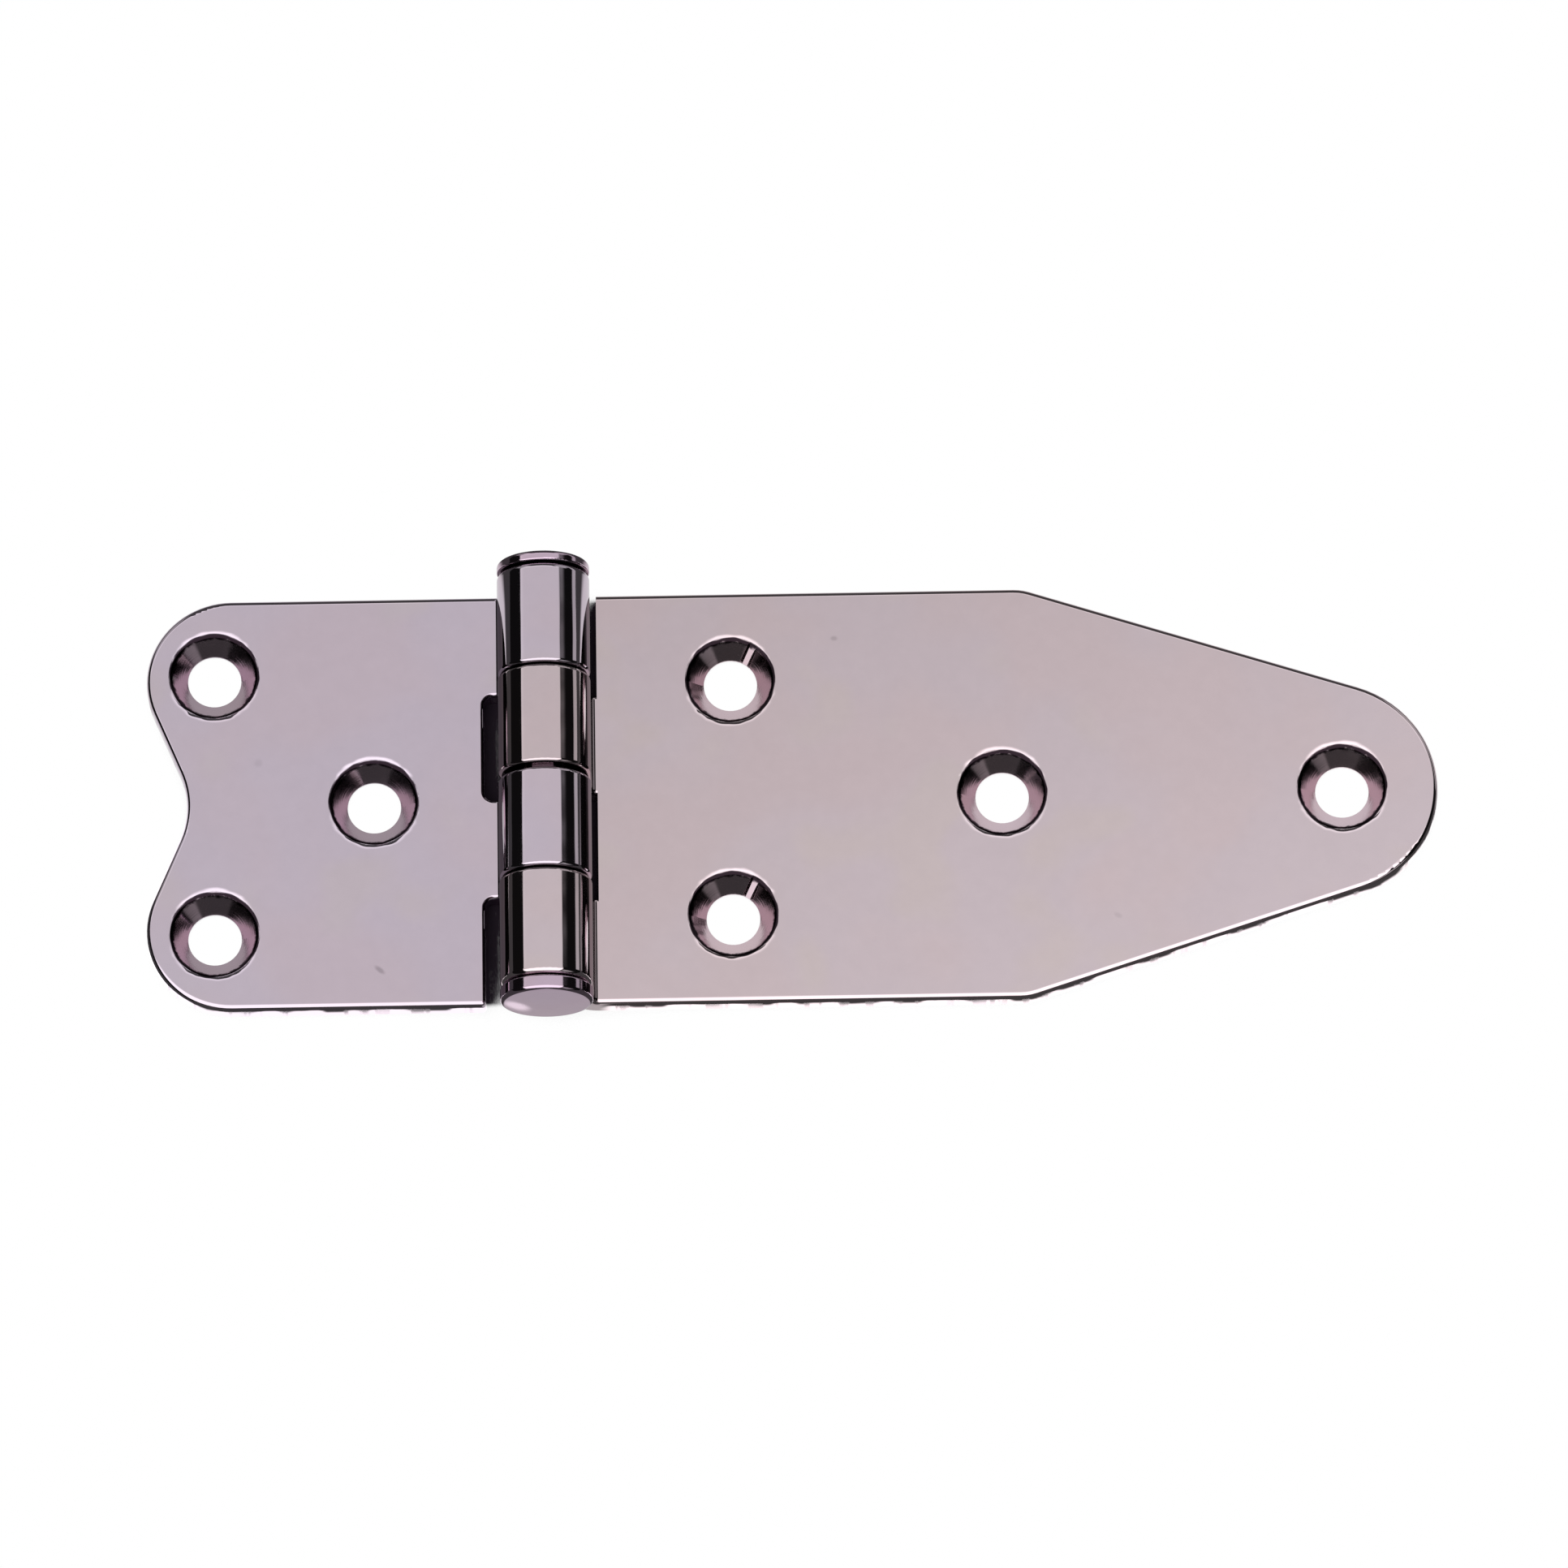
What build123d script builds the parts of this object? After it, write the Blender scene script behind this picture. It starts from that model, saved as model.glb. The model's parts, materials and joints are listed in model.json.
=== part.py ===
from build123d import *
import os
from math import acos, asin, atan2, cos, degrees, hypot, pi, sin

# Strap hinge for a boat's locker or hatch, lying open and flat, in millimetres.
# X runs along the leaves with the strap towards +X, Y runs along the barrel and +Z is up.
# The origin is the centre of the hinge's footprint, on the plane that the leaves are screwed to.
# Each leaf is drawn with its barrel's axis at X = 0 and its plate towards +X, then put in place.

# Sheet that both leaves are made of
sheet = 2.0  # thickness
leaf_width = 42.0  # along the barrel
edge_round = 0.6  # polished radius along the upper outline of a leaf and round the ends of the barrel
joint_round = 0.4  # polished radius on the knuckles' outer edges at the joints between them

# Short leaf, its lengths measured from the barrel's axis
short_reach = 38.8  # to the ends of its two lobes
lobe_radius = 8.25  # of its outer corners
bite_depth = 3.9  # of the round bite in its end
bite_flank = 6.6  # length of the straight line between a lobe and the bite
relief_depth = 1.0  # of the notches beside its knuckles, past the bend line
relief_round = 0.9  # in the corners of the notches

# Strap, its lengths measured from the barrel's axis
strap_reach = 86.5  # to its tip
shoulder_reach = 46.5  # to the corner where its taper starts
shoulder_round = 5.0
tip_radius = 10.9

# Screw holes, each row placed by its distance from the barrel's axis, from an end or from the sides
screw_hole = 5.2  # diameter
countersink = 8.75  # diameter at the surface
countersink_angle = 90.0
rim_round = 0.12  # polished radius on the rim of a countersink
short_pair_inset = 6.55  # from the ends of the lobes
short_pair_margin = 7.75  # from the sides of the leaf
short_single_reach = 16.75
strap_pair_reach = 18.0
strap_pair_margin = 9.0  # from the sides of the strap
strap_middle_reach = 44.25
strap_end_inset = 9.25  # from the tip

# Barrel
pin_diameter = 4.9
pin_clearance = 0.05  # radial, between the pin and the curled knuckles
axis_height = 7.6  # of the barrel's axis above the underside of the leaves
foot_bend = 0.5  # inner radius where a leaf bends up towards its knuckles
curl_gap = 0.3  # between the end of a curl and the riser that it started from
knuckle_count = 4  # the first at the +Y edge and on the short leaf, the next on the strap, and so on
last_knuckle_extra = 0.5  # by which the knuckle at the -Y edge is longer than the others
joint_gap = 0.15  # between knuckles
middle_joint_gap = 0.45  # between the two knuckles at the middle

# Head of the pin, and the cap on its other end
head_thickness = 1.5
cap_thickness = 1.0
cap_round = 0.45  # on the rim of its face
cap_back_round = 0.2  # on the rim beside the knuckle
cap_dome = 0.15  # how far the middle of its face stands out
cap_gap = 0.15  # end play against the outer knuckles
cap_socket = 0.7  # how far the shaft reaches into the cap

near = 1e-4  # lengths closer than this are the same

# Worked out from the sizes above
axis_x = (short_reach - strap_reach) / 2
half_width = leaf_width / 2
bore_radius = pin_diameter / 2 + pin_clearance
knuckle_radius = bore_radius + sheet
bend_line = knuckle_radius + foot_bend
cap_seat = half_width + cap_gap
knuckle_pitch = (leaf_width - last_knuckle_extra) / knuckle_count
highs, lows = [half_width], []
for number in range(1, knuckle_count):
    joint = half_width - number * knuckle_pitch
    gap = middle_joint_gap if number == knuckle_count // 2 else joint_gap
    highs.append(joint - gap / 2)
    lows.append(joint + gap / 2)
lows.append(-half_width)
knuckle_spans = list(zip(highs, lows))  # along Y, from the +Y edge down
short_spans = knuckle_spans[0::2]
strap_spans = knuckle_spans[1::2]


def close_outline(half, end):
    """Face inside half an outline, its mirror image, the end that joins them and the bend line."""
    bend = Line((bend_line, -half_width), (bend_line, half_width))
    return make_face(half + [edge.mirror(Plane.XZ) for edge in half] + [end, bend])


def short_blank():
    """Two round lobes with a round bite between them, joined by lines that touch both arcs."""
    lobe = Vector(short_reach - lobe_radius, half_width - lobe_radius)
    inset = lobe_radius - bite_depth
    squares = inset**2 + lobe.Y**2 - lobe_radius**2 - bite_flank**2
    bite_radius = squares / (2 * bite_depth)
    bite = Vector(short_reach - bite_depth + bite_radius, 0)
    between = bite - lobe
    touch = atan2(between.Y, between.X) + acos((lobe_radius + bite_radius) / between.length)
    outwards = Vector(cos(touch), sin(touch))
    lobe_end = lobe + outwards * lobe_radius
    bite_end = bite - outwards * bite_radius
    half = [
        Line((bend_line, half_width), (lobe.X, half_width)),
        CenterArc((lobe.X, lobe.Y), lobe_radius, 90, degrees(touch) - 90),
        Line((lobe_end.X, lobe_end.Y), (bite_end.X, bite_end.Y)),
    ]
    bite_half_angle = degrees(touch)
    bottom = CenterArc((bite.X, 0), bite_radius, 180 - bite_half_angle, 2 * bite_half_angle)
    blank = close_outline(half, bottom)
    notch_tops = [low for high, low in short_spans][: len(strap_spans)]
    notch_bottoms = [high for high, low in short_spans[1:]] + [-half_width]
    for high, low in zip(notch_tops, notch_bottoms):
        middle = Pos(bend_line + relief_depth / 2, (high + low) / 2)
        blank -= middle * Rectangle(relief_depth, high - low)
    corners = [
        corner
        for corner in blank.vertices()
        if abs(corner.X - bend_line - relief_depth) < near and corner.Y > -half_width + near
    ]
    return fillet(corners, relief_round)


def strap_blank():
    """Straight sides, then a taper whose sides touch the round tip, with rounded shoulders."""
    tip_x = strap_reach - tip_radius
    run = tip_x - shoulder_reach
    slope = atan2(half_width, run) - asin(tip_radius / hypot(run, half_width))
    touch = (tip_x + tip_radius * sin(slope), tip_radius * cos(slope))
    half = [
        Line((bend_line, half_width), (shoulder_reach, half_width)),
        Line((shoulder_reach, half_width), touch),
    ]
    half_sweep = degrees(pi / 2 - slope)
    blank = close_outline(half, CenterArc((tip_x, 0), tip_radius, -half_sweep, 2 * half_sweep))
    shoulders = [corner for corner in blank.vertices() if abs(corner.X - shoulder_reach) < near]
    return fillet(shoulders, shoulder_round)


def knuckle(high, low):
    """One tab of the sheet: bent up at its foot, then curled over the pin, from high to low along Y."""
    curl_end = -degrees(acos((bore_radius - curl_gap) / knuckle_radius))
    centre = (0, axis_height)
    foot = (bend_line, sheet + foot_bend)
    inner = CenterArc(centre, bore_radius, 0, 360 + curl_end)
    outer = CenterArc(centre, knuckle_radius, 0, 360 + curl_end)
    section = make_face(
        [
            CenterArc(foot, foot_bend + sheet, 180, 90),
            Line((bore_radius, foot[1]), (bore_radius, axis_height)),
            inner,
            Line(inner @ 1, outer @ 1),
            outer,
            Line((knuckle_radius, axis_height), (knuckle_radius, foot[1])),
            CenterArc(foot, foot_bend, 180, 90),
            Line((bend_line, sheet), (bend_line, 0)),
        ]
    )
    standing = Plane(origin=(0, high, 0), x_dir=(1, 0, 0), z_dir=(0, -1, 0))
    return extrude(standing * section, high - low)


def polished_edges(body, at_joints):
    """Edges to round: those at the joints with the notches beside them, or else the outer ones."""
    chosen = []
    for edge in body.edges():
        middle = edge @ 0.5
        box = edge.bounding_box()
        on_top = abs(box.min.Z - sheet) < near and abs(box.max.Z - sheet) < near
        across = box.max.Y - box.min.Y < near
        from_axis = hypot(middle.X, middle.Z - axis_height)
        outer_curl = edge.geom_type == GeomType.CIRCLE and abs(from_axis - knuckle_radius) < near
        outer_riser = edge.geom_type == GeomType.LINE and abs(middle.X - knuckle_radius) < near
        outer_foot = edge.geom_type == GeomType.CIRCLE and abs(edge.radius - foot_bend) < near
        if on_top and middle.X > bend_line + near:
            if (middle.X < bend_line + relief_depth + near) == at_joints:
                chosen.append(edge)
        elif across and (outer_curl or outer_riser or outer_foot):
            if (abs(middle.Y) < half_width - near) == at_joints:
                chosen.append(edge)
    return chosen


def leaf(blank, spans, holes):
    """A leaf: its plate with the knuckles in its own spans, polished edges and countersunk holes."""
    body = extrude(blank, sheet) + [knuckle(high, low) for high, low in spans]
    body = fillet(polished_edges(body, at_joints=False), edge_round)
    body = fillet(polished_edges(body, at_joints=True), joint_round)
    for reach, across in holes:
        drill = CounterSinkHole(screw_hole / 2, countersink / 2, sheet, countersink_angle)
        body -= Pos(reach, across, sheet) * drill
    rims = [
        edge
        for edge in body.edges().filter_by(GeomType.CIRCLE)
        if abs(edge.radius - countersink / 2) < near and abs((edge @ 0).Z - sheet) < near
    ]
    return fillet(rims, rim_round)


def end_disc(thickness):
    """A polished disc that closes an end of the barrel, its back on the XY plane and its face towards +Z."""
    corner = (knuckle_radius, thickness)
    face_top = (0, thickness + cap_dome)
    dome = ThreePointArc(corner, face_top, (-knuckle_radius, thickness)).trim(0, 0.5)
    section = make_face(
        [
            Line((0, 0), (knuckle_radius, 0)),
            Line((knuckle_radius, 0), corner),
            dome,
            Line(face_top, (0, 0)),
        ]
    )
    back_corner = section.vertices().sort_by_distance((knuckle_radius, 0, 0))[0]
    section = fillet(back_corner, cap_back_round)
    face_corner = section.vertices().sort_by_distance((*corner, 0))[0]
    section = fillet(face_corner, cap_round)
    return revolve(Plane.XZ * section, Axis.Z)


def in_barrel(body):
    """Puts a piece that was turned about the Z axis on the barrel's axis, its face towards -Y."""
    return Pos(axis_x, 0, axis_height) * Rot(90, 0, 0) * body


short_holes = [
    (short_reach - short_pair_inset, half_width - short_pair_margin),
    (short_reach - short_pair_inset, short_pair_margin - half_width),
    (short_single_reach, 0),
]
strap_holes = [
    (strap_pair_reach, half_width - strap_pair_margin),
    (strap_pair_reach, strap_pair_margin - half_width),
    (strap_middle_reach, 0),
    (strap_reach - strap_end_inset, 0),
]
to_barrel = Pos(axis_x, 0, 0)
short_leaf = to_barrel * mirror(leaf(short_blank(), short_spans, short_holes), Plane.YZ)
strap_leaf = to_barrel * leaf(strap_blank(), strap_spans, strap_holes)

shaft_length = 2 * cap_seat + cap_socket
shaft = Pos(0, 0, cap_seat - shaft_length / 2) * Cylinder(pin_diameter / 2, shaft_length)
hinge_pin = in_barrel(shaft + Pos(0, 0, cap_seat) * end_disc(head_thickness))
cap = Pos(0, 0, cap_seat) * end_disc(cap_thickness)
socket = Pos(0, 0, cap_seat + cap_socket / 2) * Cylinder(pin_diameter / 2, cap_socket)
pin_end_cap = in_barrel(Rot(180, 0, 0) * (cap - socket))

os.makedirs("parts", exist_ok=True)
pieces = {
    "short_leaf": short_leaf,
    "strap_leaf": strap_leaf,
    "hinge_pin": hinge_pin,
    "pin_end_cap": pin_end_cap,
}
for name, piece in pieces.items():
    export_step(piece, f"parts/{name}.step")
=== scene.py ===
import json
import math

import bpy
from mathutils import Matrix, Vector


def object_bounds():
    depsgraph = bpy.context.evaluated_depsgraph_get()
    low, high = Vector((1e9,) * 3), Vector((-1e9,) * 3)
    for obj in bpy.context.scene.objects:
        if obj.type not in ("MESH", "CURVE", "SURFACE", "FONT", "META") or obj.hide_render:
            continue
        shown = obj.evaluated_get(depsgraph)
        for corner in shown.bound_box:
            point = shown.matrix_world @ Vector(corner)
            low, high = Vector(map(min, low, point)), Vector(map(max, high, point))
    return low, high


# A polished stainless strap hinge, lying open on a white table under one wide overhead panel of light.
# Lengths are in metres and colours are linear. The leaves, the pin and its cap keep their solid shapes
# and get their finish here. A pair called limits holds the two values that a smooth step runs between.
micrometre = 0.000001  # the unit of every bump's height

# Camera: where it looks from, and the width of the view at the leaves' upper faces
view_azimuth = -1.05
view_elevation = 70.98
view_roll = 1.93
view_distance = 1.5
view_width = 0.152205
view_target = (-0.000757, 0.001186, 0.002)
sensor_width = 0.036

# Steel, a warm grey in the strap and a cooler one in the short leaf
short_leaf_steel = (0.655, 0.562, 0.640)
strap_leaf_steel = (0.700, 0.588, 0.620)
pin_steel = (0.655, 0.505, 0.615)
short_leaf_sheen_drift = (0.0, -1.0, 0.0)  # painted sheen: share by which the steel's colour brightens for each metre along an axis
strap_leaf_sheen_drift = (1.3, -3.0, 0.0)
painted_mirror_shade = {"short_leaf": 0.16, "strap_leaf": 0.45}  # painted shade: brightness of a leaf's colour where the barrel mirrors it

# Patches in the steel, each with the scale of its noise
cloud_scale = 90.0
leaf_cloud = 0.05  # by which the cloudy patches differ in brightness
disc_cloud = 0.08
mottle_scale = 650.0
mottle_depth = 0.06
tint_scale = 60.0
tint_limits = (0.4, 0.6)
rosy_tint = (1.006, 0.99, 0.985, 1.0)
bluish_tint = (0.99, 1.0, 1.018, 1.0)
straw_scale = 110.0
straw_limits = (0.56, 0.7)
straw_tint = (1.0, 1.008, 0.975, 1.0)

# Polish: heights, roughness, and the scales of the noise that they follow
ripple_scale = 220.0
hairline_scale = 900.0
hairline_stretch = (0.06, 6.0, 6.0)
leaf_polish = {"Ripple": 26.0, "Hairline": 0.08}
disc_polish = {"Ripple": 16.0, "Hairline": 0.16}
wipe_scale = 60.0
wipe_stretch = (1.0, 2.5, 1.0)
wipe_limits = (0.42, 0.68)
leaf_haze = {"Clean": 0.035, "Hazy": 0.075}
disc_haze = {"Clean": 0.07, "Hazy": 0.12}

# Levels on a leaf, and the marks of the shears on its cut edge
sheet_top = 0.002  # height of the upper face
plain_wall_top = 0.0014  # where the cut edge meets the rounding above it
plain_base = 0.0001  # height up to which a leaf has no countersinks and no handling marks
shear_scale = 700.0
shear_stretch = (1.0, 1.0, 0.08)
shear_limits = (0.5, 0.62)
shear_fade = 0.0003  # height over which the marks end above the cut edge
wall_limits = (0.3, 0.5)  # upward share of the normal, from a wall to a face that is none
shear_height = 12.0
shear_roughness = 0.3

# Turning marks in the countersinks and on the pin's ends
turned_pitch = 0.00018  # from one mark to the next
turned_start = (0.1, 0.45)  # shares of the radius over which the marks start round the centre
turned_end = (0.97, 1.0)  # and end
countersink_radius = 0.004375
countersink_turning = 4.0  # height of the marks
countersink_roughness = 0.08
disc_radius = 0.0045
disc_turning = 2.8
disc_flat_limits = (0.00108, 0.0018)  # distances from the axis, from flat to domed

# Countersinks: their colour against the leaf's, darkened as painted shade, the rims that buffing has
# rolled, and the residue inside
countersink_painted_shade = {
    "short_leaf": (0.69, 0.625, 0.627, 1.0),
    "strap_leaf": (0.67, 0.625, 0.645, 1.0),
}
outer_roll = (0.00060, 0.32)  # width over which the rim is rolled outside it, and slope at the rim
inner_roll = (0.00038, 0.72)  # and the same inside the rim
rim_scale = 650.0
rim_wobble = 0.00032  # spread of the uneven buffing along a rim
residue_scale = 1500.0
residue_width = 0.0005
residue_least = 0.35  # of that width, added to the noise
residue_inner_limits = (-0.00012, 0.00008)  # distances from its inner edge over which it ends
residue_outer_limits = (-0.00004, 0.00006)  # and from the rim, over which it starts
residue_shade = (0.05, 0.04, 0.05, 1.0)

# Flatter stripe that the cutter left in two countersinks
chattered_holes = ((-0.00585, 0.012), (-0.00585, -0.012))
chatter_turn = 57.0  # direction of the stripe, in degrees from +X about the hole
chatter_width = 0.0008
chatter_limits = (0.3, 0.7)  # shares of the width, from the middle of the stripe to past its side
chatter_slope = 0.5  # by which the stripe is flatter than the cone

# Handling marks: centre, half length, half width, turn in degrees and share of the light that is lost
mark_limits = (0.3, 1.2)  # shares of the oval's half sizes, from the full mark to none
handling_marks = {
    "short_leaf": (
        ((-0.0401, -0.01715), 0.0007, 0.0003, 40.0, 0.3),
        ((-0.0518, 0.0042), 0.0005, 0.0005, 0.0, 0.08),
    ),
    "strap_leaf": (
        ((0.0043, 0.0161), 0.0004, 0.0003, 0.0, 0.2),
        ((0.0314, -0.0128), 0.0005, 0.0003, 30.0, 0.1),
    ),
}

# Table, and how open the sky is over its shaded parts
table_size = 3.0
table_drop = 0.0001  # below the leaves, so that the two faces don't flicker
table_white = (0.9, 0.9, 0.9, 1.0)
glow_share = 0.88  # of the table's white that is plain glow to the camera
contact_reach = 0.006  # how far around a point its neighbours shade it
contact_limits = (0.06, 0.25)  # open share of the sky there, from no glow to all of it
gap_reach = 0.012  # and the same in the gaps under the barrel
gap_limits = (0.45, 0.6)  # open share of the sky there, from a table that is all shaded to one all clear
barrel_shadow = (-0.0063, 0.0063, -0.0203, 0.0212)  # edges of the dark strip: in X from the axis, and in Y
shadow_softness = 0.0003
shadow_colour = (0.03, 0.022, 0.032, 1.0)

# Outline of the leaves that the table's levels follow: straight edges, taper and rounded corners
leaf_edge_y = 0.021
shoulder_x = 0.02265  # where the strap starts to taper
taper = 0.3276  # its narrowing on each side for each metre along it
corner_radius = 0.00825

# Brightness of the table as metal mirrors it, each part with its limits past the outline
dim_level = 0.06
front_table_level = 1.5
front_limits = (0.00024, 0.0005)
dash_scale = 240.0  # of the noise that breaks the lit table in front of the leaves into dashes
dash_stretch = (1.0, 0.2, 1.0)
dash_limits = (0.4, 0.6)
dash_factors = (0.35, 1.2)  # by which a distance counts less or more along the edge
back_table_level = 0.8
back_limits = (0.0035, 0.0085)
middle_reach = 0.004  # on both sides of the middle, over which the front gives way to the back
hole_table_levels = (0.66, 1.09)  # in the screw holes of the short leaf and of the strap
hole_limits = (-0.0045, -0.0035)
hole_change = 0.001  # on both sides of the barrel's axis, over which those two levels meet
pin_table_level = 0.52  # in front of the pin's head
pin_limits = (0.0048, 0.0062)  # distances from the axis
pin_glint = (-0.0033, -0.0250)  # place of a brighter spot there: along X from the axis, and along Y
pin_glint_size = (0.0014, 0.0006)  # half its width and depth
pin_glint_lean = 0.7
pin_glint_limits = (0.5, 1.3)
pin_glint_level = 0.6

# Overhead panel, its edges given as slopes x/z and y/z of the direction in which it is seen
panel_left = -1.55
panel_right = 0.9
panel_front = -1.6
panel_back = 0.9
panel_edge = 0.06
panel_level = 0.75
least_height = 0.001  # of a direction, so that its slopes stay numbers below the horizon
panel_calm_slope = 0.35  # y/z where the leaves mirror it towards the camera
front_level = 1.6
front_rise = (-0.5, -0.2)  # limits from the calm slope
back_level = 1.15
back_rise = (0.15, 0.5)

# Rest of the room: dim walls, and parts with a level and limits in x, y and z of the direction
room_level = 0.07
flag_level = 0.006  # black boards that stand at both ends of the hinge
flag_side = (0.52, 0.64)
flag_top = (0.7, 0.8)
side_wall_level = 0.5  # grey wall at +X
side_wall_side = (0.3, 0.6)
side_wall_front = (0.27, 0.32)
side_wall_top = (0.14, 0.2)
low_glow_level = 0.38  # at +X and -Y, which the leaves mirror to a viewer behind the short leaf
low_glow_side = (0.5, 0.62)
low_glow_back = (-0.5, -0.4)
low_glow_foot = (0.12, 0.36)
low_glow_top = (0.6, 0.75)
corner_level = 0.45  # lighter corners at the back
corner_inside = (0.35, 0.45)
corner_outside = (0.7, 0.8)
corner_front = (0.3, 0.4)
corner_foot = (0.05, 0.15)
below_level = 0.4  # below the table, which only a leaf that swings down mirrors
below_top = (-0.3, -0.02)


class Tree:
    """A node tree that is written as expressions: each call adds a node and returns its output socket."""

    def __init__(self, tree):
        self.tree = tree

    def add(self, kind, inputs=(), output=0, **settings):
        node = self.tree.nodes.new(kind)
        for key, value in settings.items():
            setattr(node, key, value)
        for key, value in dict(inputs).items():
            self.feed(node, key, value)
        return node.outputs[output]

    def feed(self, node, key, value):
        """Links a socket to a node's input, or sets the input to a number."""
        if isinstance(value, bpy.types.NodeSocket):
            self.tree.links.new(value, node.inputs[key])
        else:
            node.inputs[key].default_value = value

    def math(self, operation, first, second=0.0):
        return self.add("ShaderNodeMath", {0: first, 1: second}, operation=operation)

    def product(self, first, *others):
        for other in others:
            first = self.math("MULTIPLY", first, other)
        return first

    def vector(self, operation, first, second, output=0):
        return self.add("ShaderNodeVectorMath", {0: first, 1: second}, output, operation=operation)

    def ramp(self, value, low, high, out_low=0.0, out_high=1.0):
        """Smooth step from out_low, where value is low, to out_high, where it is high."""
        inputs = {0: value, 1: low, 2: high, 3: out_low, 4: out_high}
        return self.add("ShaderNodeMapRange", inputs, interpolation_type="SMOOTHSTEP")

    def fall(self, value, low, high):
        """Smooth step from 1, where value is low, to 0, where it is high."""
        return self.ramp(value, low, high, 1.0, 0.0)

    def blend(self, factor, first, second, kind="MIX"):
        inputs = {0: factor, 6: first, 7: second}
        return self.add("ShaderNodeMix", inputs, 2, data_type="RGBA", blend_type=kind)

    def level(self, factor, first, second):
        return self.add("ShaderNodeMix", {0: factor, 2: first, 3: second}, 0, data_type="FLOAT")

    def split(self, vector):
        node = self.tree.nodes.new("ShaderNodeSeparateXYZ")
        self.tree.links.new(vector, node.inputs[0])
        return node.outputs

    def place(self):
        """Object coordinates."""
        return self.add("ShaderNodeTexCoord", output=3)

    def length(self, x, y):
        vector = self.add("ShaderNodeCombineXYZ", {0: x, 1: y})
        return self.vector("LENGTH", vector, (0.0, 0.0, 0.0), 1)

    def noise(self, vector, scale, detail=2.0, roughness=0.5, stretch=(1.0, 1.0, 1.0)):
        placed = self.add("ShaderNodeMapping", {"Vector": vector, "Scale": stretch})
        inputs = {"Vector": placed, "Scale": scale, "Detail": detail, "Roughness": roughness}
        return self.add("ShaderNodeTexNoise", inputs)

    def shared(self, group, output=0, **values):
        """Places a shared group with its own values, numbers or sockets, and returns one of its outputs."""
        node = self.tree.nodes.new("ShaderNodeGroup")
        node.node_tree = group
        for label, value in values.items():
            self.feed(node, label, value)
        return node.outputs[output]


def shader_group(name, inputs, outputs):
    """A new shader node group: its expression tree, its input sockets by name and its output sockets."""
    group = bpy.data.node_groups.new(name, "ShaderNodeTree")
    for label, kind in inputs.items():
        group.interface.new_socket(name=label, in_out="INPUT", socket_type="NodeSocket" + kind)
    for label, kind in outputs.items():
        group.interface.new_socket(name=label, in_out="OUTPUT", socket_type="NodeSocket" + kind)
    entry = group.nodes.new("NodeGroupInput")
    leave = group.nodes.new("NodeGroupOutput")
    return group, Tree(group), entry.outputs, leave.inputs


def steel_tone_group():
    """Colour of polished steel: cloudy patches, fine mottling, tints, and a drift in brightness that is
    painted sheen.
    """
    inputs = {"Steel": "Color", "Cloud": "Float", "Drift": "Vector"}
    group, tree, given, result = shader_group("steel_tone", inputs, {"Color": "Color"})
    place = tree.place()
    cloud = tree.math("SUBTRACT", tree.noise(place, cloud_scale, 3.0, 0.55), 0.5)
    mottle = tree.math("SUBTRACT", tree.noise(place, mottle_scale, 2.0, 0.6), 0.5)
    clouds = tree.math("MULTIPLY", cloud, given["Cloud"])
    shade = tree.math("ADD", clouds, tree.math("MULTIPLY", mottle, mottle_depth))
    # Painted sheen: the colour brightens along the Drift direction
    drift = tree.vector("DOT_PRODUCT", place, given["Drift"], 1)
    factor = tree.math("ADD", tree.math("ADD", drift, shade), 1.0)
    bluish = tree.ramp(tree.noise(place, tint_scale), *tint_limits)
    straw = tree.ramp(tree.noise(place, straw_scale, 1.0), *straw_limits)
    tint = tree.blend(straw, tree.blend(bluish, rosy_tint, bluish_tint), straw_tint)
    tinted = tree.blend(1.0, given["Steel"], tint, "MULTIPLY")
    scaled = tree.add("ShaderNodeVectorMath", {0: tinted, "Scale": factor}, operation="SCALE")
    tree.tree.links.new(scaled, result["Color"])
    return group


def polish_group():
    """Height of a buffed surface: long soft ripples and fine hairlines along X."""
    inputs = {"Ripple": "Float", "Hairline": "Float"}
    group, tree, given, result = shader_group("buffed_polish", inputs, {"Height": "Float"})
    place = tree.place()
    ripple = tree.noise(place, ripple_scale, 1.0, 0.4)
    hairline = tree.noise(place, hairline_scale, 2.0, 0.6, hairline_stretch)
    ripples = tree.math("MULTIPLY", ripple, given["Ripple"])
    hairlines = tree.math("MULTIPLY", hairline, given["Hairline"])
    tree.tree.links.new(tree.math("ADD", ripples, hairlines), result["Height"])
    return group


def haze_group():
    """Roughness of a mirror polish: clean, with wiped patches that are a little hazier."""
    inputs = {"Clean": "Float", "Hazy": "Float"}
    group, tree, given, result = shader_group("wiped_haze", inputs, {"Roughness": "Float"})
    wipes = tree.noise(tree.place(), wipe_scale, 4.0, 0.6, wipe_stretch)
    mask = tree.ramp(wipes, *wipe_limits)
    tree.tree.links.new(tree.level(mask, given["Clean"], given["Hazy"]), result["Roughness"])
    return group


def turned_group():
    """Turning marks round a centre: their height and mask, from the distance to it, inside a radius."""
    inputs = {"Distance": "Float", "Radius": "Float", "Pitch": "Float"}
    outputs = {"Height": "Float", "Mask": "Float"}
    group, tree, given, result = shader_group("turned_marks", inputs, outputs)
    turns = tree.math("DIVIDE", given["Distance"], given["Pitch"])
    marks = {"W": turns, "Scale": 1.0, "Detail": 2.0, "Roughness": 0.6}
    ring = tree.add("ShaderNodeTexNoise", marks, noise_dimensions="1D")
    share = tree.math("DIVIDE", given["Distance"], given["Radius"])
    mask = tree.fall(share, *turned_end)
    off_centre = tree.ramp(share, *turned_start)
    tree.tree.links.new(tree.product(ring, mask, off_centre), result["Height"])
    tree.tree.links.new(mask, result["Mask"])
    return group


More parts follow.
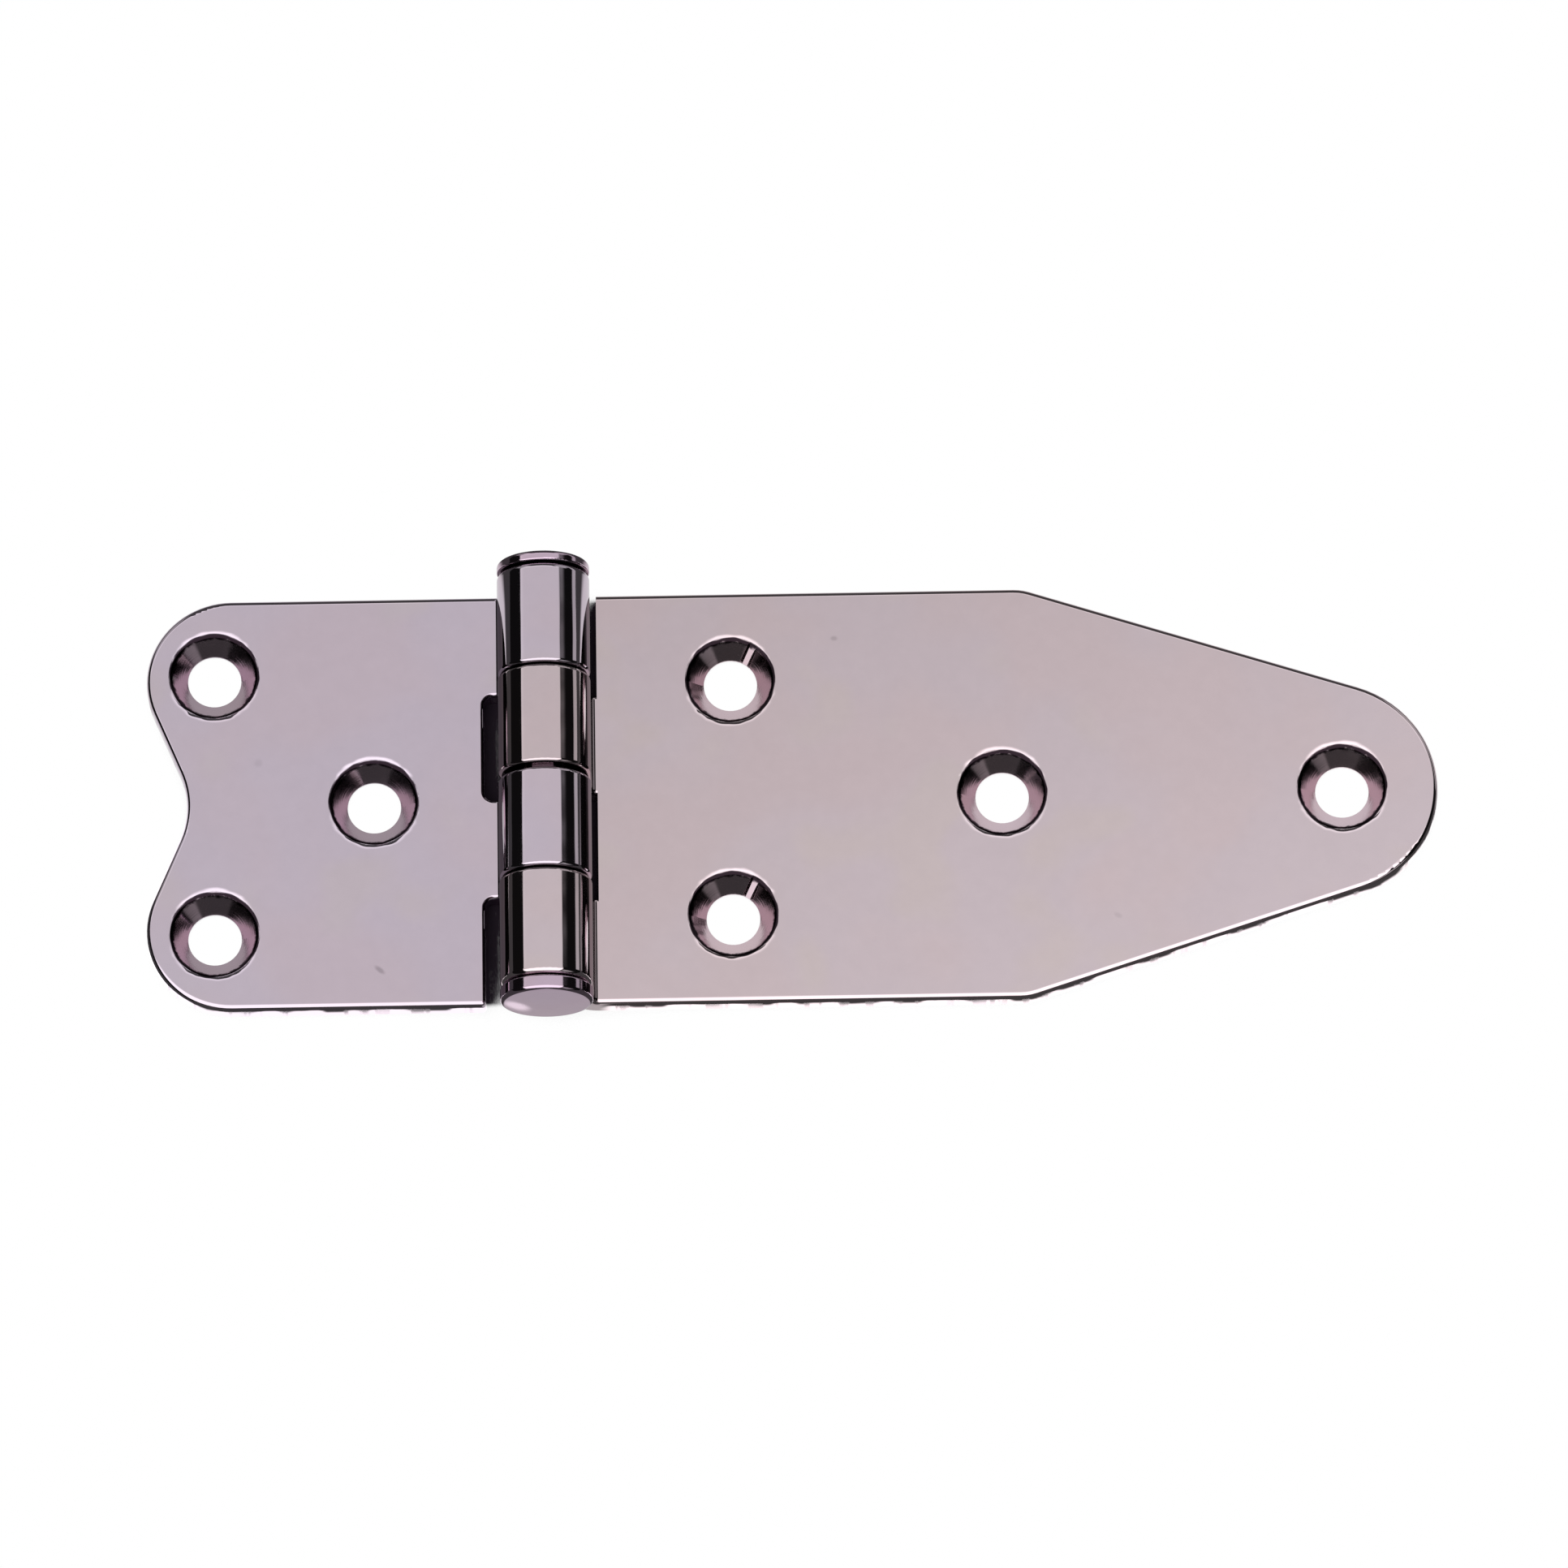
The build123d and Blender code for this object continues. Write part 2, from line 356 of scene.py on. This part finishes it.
def rolled_rim_group():
    """Height, in micrometres, by which a rim is buffed down: a parabola from a width away to the rim."""
    inputs = {"Away": "Float", "Width": "Float", "Slope": "Float"}
    group, tree, given, result = shader_group("rolled_rim", inputs, {"Height": "Float"})
    near_rim = tree.math("MAXIMUM", tree.math("SUBTRACT", given["Width"], given["Away"]), 0.0)
    near_rim = tree.math("MINIMUM", near_rim, given["Width"])
    steepness = tree.math("DIVIDE", given["Slope"], given["Width"])
    beyond = tree.product(given["Width"], given["Slope"], 0.5 / micrometre)
    fall = tree.product(near_rim, near_rim, steepness, -0.5 / micrometre)
    tree.tree.links.new(tree.math("ADD", fall, beyond), result["Height"])
    return group


def chatter_group():
    """Height, in micrometres, of a stripe that rises from a countersink's rim towards its centre."""
    inputs = {"Centre": "Vector", "Turn": "Float", "Radius": "Float", "Width": "Float", "Slope": "Float"}
    group, tree, given, result = shader_group("cutter_chatter", inputs, {"Height": "Float"})
    offset = tree.vector("SUBTRACT", tree.place(), given["Centre"])
    turn = {"Vector": offset, "Angle": tree.math("MULTIPLY", given["Turn"], -1.0)}
    along, across, _ = tree.split(tree.add("ShaderNodeVectorRotate", turn, rotation_type="Z_AXIS"))
    side = tree.math("DIVIDE", tree.math("ABSOLUTE", across), given["Width"])
    inwards = tree.math("MAXIMUM", tree.math("SUBTRACT", given["Radius"], along), 0.0)
    mask = tree.product(tree.fall(side, *chatter_limits), tree.math("GREATER_THAN", along, 0.0))
    tree.tree.links.new(tree.product(inwards, mask, given["Slope"], 1 / micrometre), result["Height"])
    return group


def cut_edge_group():
    """Mask of the upright marks that the shears leave on a cut edge, broken up along it."""
    inputs = {"Top": "Float"}
    group, tree, given, result = shader_group("cut_edge_marks", inputs, {"Mask": "Float"})
    place = tree.place()
    height = tree.split(place)[2]
    upwards = tree.split(tree.add("ShaderNodeNewGeometry", output=3))[2]
    wall = tree.fall(tree.math("ABSOLUTE", upwards), *wall_limits)
    low = tree.ramp(tree.math("SUBTRACT", given["Top"], height), -shear_fade, 0.0)
    breaks = tree.ramp(tree.noise(place, shear_scale, 2.0, 0.6, shear_stretch), *shear_limits)
    tree.tree.links.new(tree.product(breaks, wall, low), result["Mask"])
    return group


def mark_group():
    """Mask of one soft handling mark: an oval about a centre, turned about Z."""
    inputs = {"Centre": "Vector", "Long": "Float", "Wide": "Float", "Turn": "Float"}
    group, tree, given, result = shader_group("handling_mark", inputs, {"Mask": "Float"})
    offset = tree.vector("SUBTRACT", tree.place(), given["Centre"])
    turn = {"Vector": offset, "Angle": given["Turn"]}
    x, y, _ = tree.split(tree.add("ShaderNodeVectorRotate", turn, rotation_type="Z_AXIS"))
    along = tree.math("DIVIDE", x, given["Long"])
    across = tree.math("DIVIDE", y, given["Wide"])
    mask = tree.fall(tree.length(along, across), *mark_limits)
    tree.tree.links.new(mask, result["Mask"])
    return group


def shared_groups():
    """Node groups that the steels share, by short name."""
    return {
        "tone": steel_tone_group(),
        "polish": polish_group(),
        "haze": haze_group(),
        "turned": turned_group(),
        "rim": rolled_rim_group(),
        "chatter": chatter_group(),
        "cut_edge": cut_edge_group(),
        "mark": mark_group(),
    }


def steel_shader(name):
    """A new metal material, its expression tree and its shader's input sockets."""
    material = bpy.data.materials.new(name)
    material.use_nodes = True
    sockets = material.node_tree.nodes["Principled BSDF"].inputs
    sockets["Metallic"].default_value = 1.0
    return material, Tree(material.node_tree), sockets


def residue_mask(tree, before_rim, uneven):
    """Mask of the dark polishing residue inside a rim, ragged towards the hole and wavy along the rim."""
    ragged = tree.noise(tree.place(), residue_scale, 2.0, 0.6)
    inner_edge = tree.math("MULTIPLY", tree.math("ADD", ragged, residue_least), residue_width)
    from_inner_edge = tree.math("SUBTRACT", before_rim, inner_edge)
    return tree.product(
        tree.fall(from_inner_edge, *residue_inner_limits),
        tree.ramp(tree.math("ADD", before_rim, uneven), *residue_outer_limits),
    )


def handling_loss(tree, leaf, above_base, shared):
    """Share of the light that a leaf loses to its handling marks."""
    loss = 0.0
    for (x, y), long, wide, turn, strength in handling_marks[leaf]:
        shape = {"Centre": (x, y, sheet_top), "Long": long, "Wide": wide, "Turn": math.radians(turn)}
        mask = tree.shared(shared["mark"], **shape)
        loss = tree.math("ADD", loss, tree.product(mask, above_base, strength))
    return loss


def leaf_steel(leaf, steel, drift, centres, shared):
    """Mirror-polished sheet with turned countersinks, sheared edges and a few handling marks."""
    material, tree, sockets = steel_shader(leaf + "_steel")
    flat = tree.vector("MULTIPLY", tree.place(), (1.0, 1.0, 0.0))
    nearest = 1.0
    for x, y in centres:
        distance = tree.vector("DISTANCE", flat, (x, y, 0.0), 1)
        nearest = tree.math("MINIMUM", distance, nearest)
    above_base = tree.math("GREATER_THAN", tree.split(tree.place())[2], plain_base)
    nearest = tree.level(above_base, 1.0, nearest)
    turning = {"Distance": nearest, "Radius": countersink_radius, "Pitch": turned_pitch}
    rings = tree.shared(shared["turned"], "Height", **turning)
    in_countersink = tree.shared(shared["turned"], "Mask", **turning)
    uneven = tree.math("SUBTRACT", tree.noise(tree.place(), rim_scale, 1.0), 0.5)
    uneven = tree.math("MULTIPLY", uneven, rim_wobble)
    past_rim = tree.math("ADD", tree.math("SUBTRACT", nearest, countersink_radius), uneven)
    before_rim = tree.math("SUBTRACT", countersink_radius, nearest)
    outer_rim = tree.shared(shared["rim"], Away=past_rim, Width=outer_roll[0], Slope=outer_roll[1])
    inner_rim = tree.shared(shared["rim"], Away=before_rim, Width=inner_roll[0], Slope=inner_roll[1])
    shears = tree.shared(shared["cut_edge"], Top=plain_wall_top)

    colour = tree.shared(shared["tone"], Steel=(*steel, 1.0), Cloud=leaf_cloud, Drift=drift)
    # Painted shade: the countersinks' colour is darkened against the leaf's
    shaded = tree.blend(1.0, colour, countersink_painted_shade[leaf], "MULTIPLY")
    colour = tree.blend(in_countersink, colour, shaded)
    stained = tree.blend(1.0, colour, residue_shade, "MULTIPLY")
    colour = tree.blend(residue_mask(tree, before_rim, uneven), colour, stained)
    kept = tree.math("SUBTRACT", 1.0, handling_loss(tree, leaf, above_base, shared))
    # Painted shade: outside the countersinks, a leaf's colour is darkened for rays that other metal
    # reflects
    glossy_ray = tree.add("ShaderNodeLightPath", output=3)
    outside = tree.math("SUBTRACT", 1.0, in_countersink)
    dimmed = tree.level(tree.product(glossy_ray, outside), 1.0, painted_mirror_shade[leaf])
    kept = tree.product(kept, dimmed)
    colour = tree.add("ShaderNodeVectorMath", {0: colour, "Scale": kept}, operation="SCALE")
    tree.tree.links.new(colour, sockets["Base Color"])

    roughness = tree.shared(shared["haze"], **leaf_haze)
    turned_roughness = tree.math("MULTIPLY", in_countersink, countersink_roughness)
    roughness = tree.math("ADD", roughness, turned_roughness)
    roughness = tree.math("ADD", roughness, tree.math("MULTIPLY", shears, shear_roughness))
    tree.tree.links.new(roughness, sockets["Roughness"])

    height = tree.shared(shared["polish"], **leaf_polish)
    height = tree.math("ADD", height, tree.math("MULTIPLY", rings, countersink_turning))
    height = tree.math("ADD", height, tree.math("MULTIPLY", shears, shear_height))
    height = tree.math("ADD", height, outer_rim)
    height = tree.math("ADD", height, inner_rim)
    for x, y in [hole for hole in centres if hole in chattered_holes]:
        stripe = {"Centre": (x, y, 0.0), "Turn": math.radians(chatter_turn), "Radius": countersink_radius}
        stripe |= {"Width": chatter_width, "Slope": chatter_slope}
        height = tree.math("ADD", height, tree.shared(shared["chatter"], **stripe))
    bump = tree.add("ShaderNodeBump", {"Strength": 1.0, "Distance": micrometre, "Height": height})
    tree.tree.links.new(bump, sockets["Normal"])
    return material


def disc_steel(name, steel, axis_place, shared):
    """Polished steel with fine turning marks round the barrel's axis, flat about the middle of an end."""
    material, tree, sockets = steel_shader(name)
    beside = tree.vector("MULTIPLY", tree.place(), (1.0, 0.0, 1.0))
    axis_x, _, axis_z = axis_place
    distance = tree.vector("DISTANCE", beside, (axis_x, 0.0, axis_z), 1)
    turning = {"Distance": distance, "Radius": disc_radius, "Pitch": turned_pitch}
    rings = tree.shared(shared["turned"], "Height", **turning)

    no_drift = (0.0, 0.0, 0.0)
    colour = tree.shared(shared["tone"], Steel=(*steel, 1.0), Cloud=disc_cloud, Drift=no_drift)
    tree.tree.links.new(colour, sockets["Base Color"])
    roughness = tree.shared(shared["haze"], **disc_haze)
    tree.tree.links.new(roughness, sockets["Roughness"])
    height = tree.shared(shared["polish"], **disc_polish)
    height = tree.math("ADD", height, tree.math("MULTIPLY", rings, disc_turning))
    outwards = tree.add("ShaderNodeCombineXYZ", {1: tree.math("SIGN", tree.split(tree.place())[1])})
    spun = {"vector_type": "NORMAL", "convert_from": "OBJECT", "convert_to": "WORLD"}
    outwards = tree.add("ShaderNodeVectorTransform", {0: outwards}, **spun)
    near_centre = tree.fall(distance, *disc_flat_limits)
    normal = tree.add("ShaderNodeNewGeometry", output=1)
    normal = tree.add("ShaderNodeMix", {0: near_centre, 4: normal, 5: outwards}, 1, data_type="VECTOR")
    shape = {"Strength": 1.0, "Distance": micrometre, "Height": height, "Normal": normal}
    tree.tree.links.new(tree.add("ShaderNodeBump", shape), sockets["Normal"])
    return material


def screw_centres(record):
    """Centres of the screw holes, worked out from the record's mounts and kept by leaf."""
    centres = {"short_leaf": [], "strap_leaf": []}
    for mount in record["mounts"]:
        leaf = "short_leaf" if mount["name"].startswith("short") else "strap_leaf"
        x, y, _ = mount["pos_m"]
        half_x = mount["dims"].get("spacing_x_mm", 0.0) / 2000
        half_y = mount["dims"].get("spacing_y_mm", 0.0) / 2000
        if mount["kind"] == "bolt_pattern":
            centres[leaf] += [(x - half_x, y - half_y), (x + half_x, y + half_y)]
        elif mount["kind"] == "bore":
            centres[leaf].append((x, y))
    return centres


def finish_steel(frame):
    """Gives each solid its steel."""
    shared = shared_groups()
    centres = screw_centres(frame["record"])
    axis_place = frame["record"]["behaviour"]["joints"][0]["pos_m"]
    colours = {
        "short_leaf": (short_leaf_steel, short_leaf_sheen_drift),
        "strap_leaf": (strap_leaf_steel, strap_leaf_sheen_drift),
    }
    steels = {}
    for leaf, (steel, drift) in colours.items():
        steels[leaf] = leaf_steel(leaf, steel, drift, centres[leaf], shared)
    steels["hinge_pin"] = disc_steel("pin_steel", pin_steel, axis_place, shared)
    steels["pin_end_cap"] = steels["hinge_pin"]
    for node, steel in steels.items():
        for slot in frame["nodes"][node].material_slots:
            slot.material = steel


def outline_distance(tree, x, y, half_length):
    """Distance past the leaves' tapered outline with its rounded corners, negative inside it."""
    past_shoulder = tree.math("MAXIMUM", tree.math("SUBTRACT", x, shoulder_x), 0.0)
    narrowing = tree.math("MULTIPLY", past_shoulder, taper)
    edge_y = tree.math("SUBTRACT", leaf_edge_y - corner_radius, narrowing)
    past_x = tree.math("SUBTRACT", tree.math("ABSOLUTE", x), half_length - corner_radius)
    past_y = tree.math("SUBTRACT", tree.math("ABSOLUTE", y), edge_y)
    outside = tree.add("ShaderNodeCombineXYZ", {0: past_x, 1: past_y})
    outside = tree.vector("MAXIMUM", outside, (0.0, 0.0, 0.0))
    from_corner = tree.vector("LENGTH", outside, (0.0, 0.0, 0.0), 1)
    return tree.math("SUBTRACT", from_corner, corner_radius)


def pin_front_level(tree, x, y, axis_x):
    """Level of the table in front of the pin's head, with a leaning brighter spot."""
    spot_x, spot_y = pin_glint
    half_width, half_depth = pin_glint_size
    right = tree.math("DIVIDE", tree.math("SUBTRACT", x, axis_x + spot_x), half_width)
    up = tree.math("DIVIDE", tree.math("SUBTRACT", y, spot_y), half_depth)
    up = tree.math("SUBTRACT", up, tree.math("MULTIPLY", right, pin_glint_lean))
    glint = tree.ramp(tree.length(right, up), *pin_glint_limits, pin_glint_level, 0.0)
    return tree.math("ADD", pin_table_level, glint)


def mirrored_table_level(tree, x, y, half_length, axis_x):
    """Level of the table as metal mirrors it: lit beside the hinge and in its holes, dim further out."""
    past_outline = outline_distance(tree, x, y, half_length)
    distance = tree.math("MAXIMUM", past_outline, 0.0)
    dashes = tree.noise(tree.place(), dash_scale, 1.0, 0.5, dash_stretch)
    broken = tree.math("MULTIPLY", distance, tree.ramp(dashes, *dash_limits, *dash_factors))
    front = tree.ramp(broken, *front_limits, front_table_level, dim_level)
    back = tree.ramp(distance, *back_limits, back_table_level, dim_level)
    level = tree.level(tree.ramp(y, -middle_reach, middle_reach), front, back)
    from_pin = tree.math("ABSOLUTE", tree.math("SUBTRACT", x, axis_x))
    by_pin = tree.product(tree.fall(from_pin, *pin_limits), tree.math("LESS_THAN", y, 0.0))
    level = tree.level(by_pin, level, pin_front_level(tree, x, y, axis_x))
    in_holes = tree.fall(past_outline, *hole_limits)
    hole_level = tree.ramp(x, axis_x - hole_change, axis_x + hole_change, *hole_table_levels)
    return tree.level(in_holes, level, hole_level)


def barrel_shade(tree, x, y, axis_x, clear):
    """Mask of the dark strip under the barrel, soft at its edges and gone where the sky is clear."""
    left, right, near_end, far_end = barrel_shadow
    soft = shadow_softness
    return tree.product(
        tree.math("SUBTRACT", 1.0, clear),
        tree.ramp(x, axis_x + left - soft, axis_x + left + soft),
        tree.fall(x, axis_x + right - soft, axis_x + right + soft),
        tree.ramp(y, near_end - soft, near_end + soft),
        tree.fall(y, far_end - soft, far_end + soft),
    )


def table_material(bounds, axis_x):
    """White table, dark in the gaps under the barrel and with its own levels as metal mirrors it.

    Where the sky over it is open, the camera sees through it to the backdrop, which is as white, so a
    leaf that swings below it still shows.
    """
    material = bpy.data.materials.new("white_table")
    material.use_nodes = True
    tree = Tree(material.node_tree)
    nodes = material.node_tree.nodes
    nodes.remove(nodes["Principled BSDF"])
    low, high = bounds
    x, y, _ = tree.split(tree.place())
    mirrored_level = mirrored_table_level(tree, x, y, max(-low[0], high[0]), axis_x)
    contact_sky = tree.add("ShaderNodeAmbientOcclusion", {"Distance": contact_reach}, 1)
    gap_sky = tree.add("ShaderNodeAmbientOcclusion", {"Distance": gap_reach}, 1)
    clear = tree.ramp(gap_sky, *gap_limits)
    shaded = barrel_shade(tree, x, y, axis_x, clear)
    rays = nodes.new("ShaderNodeLightPath")
    camera_ray = rays.outputs["Is Camera Ray"]
    camera_share = tree.product(camera_ray, tree.ramp(contact_sky, *contact_limits), glow_share)
    mirrored = tree.math("MAXIMUM", rays.outputs["Is Glossy Ray"], rays.outputs["Is Transmission Ray"])
    lit = tree.math("SUBTRACT", 1.0, shaded)
    glow_factor = tree.product(tree.math("MAXIMUM", camera_share, mirrored), lit)
    glow_level = tree.level(camera_ray, mirrored_level, 1.0)
    glow = tree.add("ShaderNodeEmission", {"Color": (1.0, 1.0, 1.0, 1.0), "Strength": glow_level})
    matt = tree.add("ShaderNodeBsdfDiffuse", {"Color": tree.blend(shaded, table_white, shadow_colour)})
    surface = tree.add("ShaderNodeMixShader", {0: glow_factor, 1: matt, 2: glow})
    unseen = tree.math("MULTIPLY", camera_ray, clear)
    backdrop = tree.add("ShaderNodeBsdfTransparent")
    surface = tree.add("ShaderNodeMixShader", {0: unseen, 1: surface, 2: backdrop})
    material.node_tree.links.new(surface, nodes["Material Output"].inputs["Surface"])
    return material


def table(material):
    """A flat square just below the leaves."""
    half = table_size / 2
    corners = [(-half, -half), (half, -half), (half, half), (-half, half)]
    mesh = bpy.data.meshes.new("table")
    mesh.from_pydata([(x, y, -table_drop) for x, y in corners], [], [(0, 1, 2, 3)])
    mesh.materials.append(material)
    top = bpy.data.objects.new("table", mesh)
    bpy.context.scene.collection.objects.link(top)


def panel_light(tree, slope_x, slope_y):
    """Mask and level of the overhead panel: calm in its middle, brighter towards its front and back."""
    mask = tree.product(
        tree.ramp(slope_x, panel_left - panel_edge, panel_left + panel_edge),
        tree.fall(slope_x, panel_right - panel_edge, panel_right + panel_edge),
        tree.ramp(slope_y, panel_front - panel_edge, panel_front + panel_edge),
        tree.fall(slope_y, panel_back - panel_edge, panel_back + panel_edge),
    )
    away = tree.math("SUBTRACT", slope_y, panel_calm_slope)
    back = tree.ramp(away, *back_rise, panel_level, back_level)
    front = tree.ramp(away, *front_rise, front_level - panel_level, 0.0)
    return mask, tree.math("ADD", back, front)


def room_light(tree, x, y, z):
    """Level of the room in a direction: dim walls with a few darker and lighter parts."""
    beside = tree.math("ABSOLUTE", x)
    flags = tree.product(tree.ramp(beside, *flag_side), tree.fall(z, *flag_top))
    level = tree.level(flags, room_level, flag_level)
    side_wall = tree.product(
        tree.fall(z, *side_wall_top),
        tree.ramp(x, *side_wall_side),
        tree.ramp(y, *side_wall_front),
    )
    level = tree.math("ADD", level, tree.math("MULTIPLY", side_wall, side_wall_level))
    low_glow = tree.product(
        tree.ramp(x, *low_glow_side),
        tree.fall(y, *low_glow_back),
        tree.ramp(z, *low_glow_foot),
        tree.fall(z, *low_glow_top),
    )
    level = tree.math("ADD", level, tree.math("MULTIPLY", low_glow, low_glow_level))
    corners = tree.product(
        tree.ramp(beside, *corner_inside),
        tree.fall(beside, *corner_outside),
        tree.ramp(y, *corner_front),
        tree.ramp(z, *corner_foot),
    )
    level = tree.level(corners, level, corner_level)
    return tree.level(tree.fall(z, *below_top), level, below_level)


def studio():
    """White to the camera. Elsewhere a dim room with one wide panel overhead."""
    world = bpy.data.worlds.new("studio")
    bpy.context.scene.world = world
    world.use_nodes = True
    tree = Tree(world.node_tree)
    nodes = world.node_tree.nodes
    x, y, z = tree.split(tree.add("ShaderNodeTexCoord", output=0))
    up = tree.math("MAXIMUM", z, least_height)
    mask, light = panel_light(tree, tree.math("DIVIDE", x, up), tree.math("DIVIDE", y, up))
    level = tree.level(mask, room_light(tree, x, y, z), light)
    rays = nodes.new("ShaderNodeLightPath")
    level = tree.level(rays.outputs["Is Camera Ray"], level, 1.0)
    background = nodes["Background"]
    background.inputs["Color"].default_value = (1.0, 1.0, 1.0, 1.0)
    world.node_tree.links.new(level, background.inputs["Strength"])


def camera():
    """The photograph's view: from high above the strap's near edge, rolled a little."""
    turn = Matrix.Rotation(-math.radians(view_azimuth), 4, "Z")
    tip = Matrix.Rotation(math.radians(90 - view_elevation), 4, "X")
    roll = Matrix.Rotation(-math.radians(view_roll), 4, "Z")
    pose = Matrix.Translation(Vector(view_target)) @ turn @ tip
    data = bpy.data.cameras.new("photo_view")
    data.sensor_width = sensor_width * 1000
    data.lens = sensor_width * 1000 * view_distance / view_width
    data.clip_start = 0.05
    data.clip_end = 10.0
    viewer = bpy.data.objects.new("photo_view", data)
    viewer.matrix_world = pose @ Matrix.Translation((0, 0, view_distance)) @ roll
    bpy.context.scene.collection.objects.link(viewer)
    bpy.context.scene.camera = viewer


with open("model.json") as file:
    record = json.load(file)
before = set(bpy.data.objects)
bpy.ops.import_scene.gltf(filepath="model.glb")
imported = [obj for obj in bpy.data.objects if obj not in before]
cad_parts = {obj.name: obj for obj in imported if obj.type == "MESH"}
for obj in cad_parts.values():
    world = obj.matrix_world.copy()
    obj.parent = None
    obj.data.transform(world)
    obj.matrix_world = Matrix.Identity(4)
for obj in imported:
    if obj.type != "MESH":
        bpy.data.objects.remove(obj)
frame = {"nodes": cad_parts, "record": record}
solid_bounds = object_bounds()
finish_steel(frame)
table(table_material(solid_bounds, frame["record"]["behaviour"]["joints"][0]["pos_m"][0]))
studio()
camera()
bpy.context.scene.view_settings.view_transform = "Standard"
